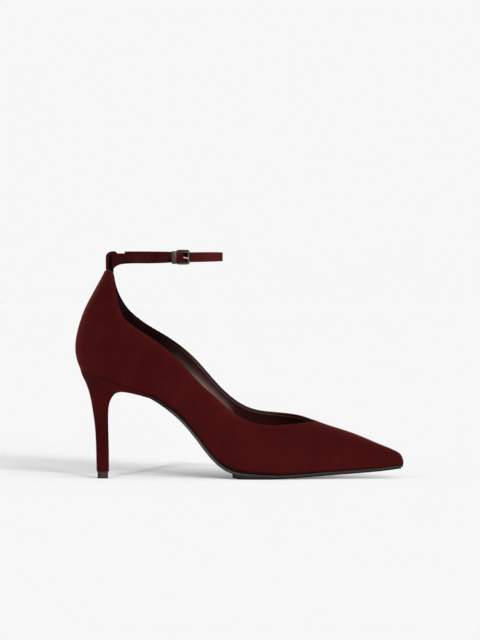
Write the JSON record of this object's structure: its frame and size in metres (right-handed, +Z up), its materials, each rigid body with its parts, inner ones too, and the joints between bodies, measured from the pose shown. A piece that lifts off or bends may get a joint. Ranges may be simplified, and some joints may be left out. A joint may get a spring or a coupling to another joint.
{
  "type": "pump shoe",
  "caption": "Right pump shoe with a pointed toe, V-shaped throat, covered stiletto heel and a buckled ankle strap held by a loop on the heel tab.",
  "frame": {"origin": "bottom centre of the overall bounding box, on the floor that the shoe stands on", "axes": "+X along the shoe from heel to toe, +Y towards the inner (medial) side, +Z up"},
  "size_m": [0.2524, 0.0782, 0.1752],
  "materials": {
    "suede": "matt brushed nap",
    "lining_leather": "smooth, slightly glossy",
    "sole_leather": "painted edge, satin",
    "rubber": "matt",
    "gunmetal": "dark plated, satin",
    "satin_metal": "satin"
  },
  "bodies": {
    "root": {"upper": "suede", "insole": "lining_leather", "outsole": "sole_leather", "forepart_tread": "rubber", "heel": "suede", "top_piece": "rubber", "strap_loop": "suede", "ankle_strap": "suede", "buckle_frame": "gunmetal", "buckle_prong": "satin_metal", "strap_keeper": "satin_metal"}
  },
  "joints": []
}
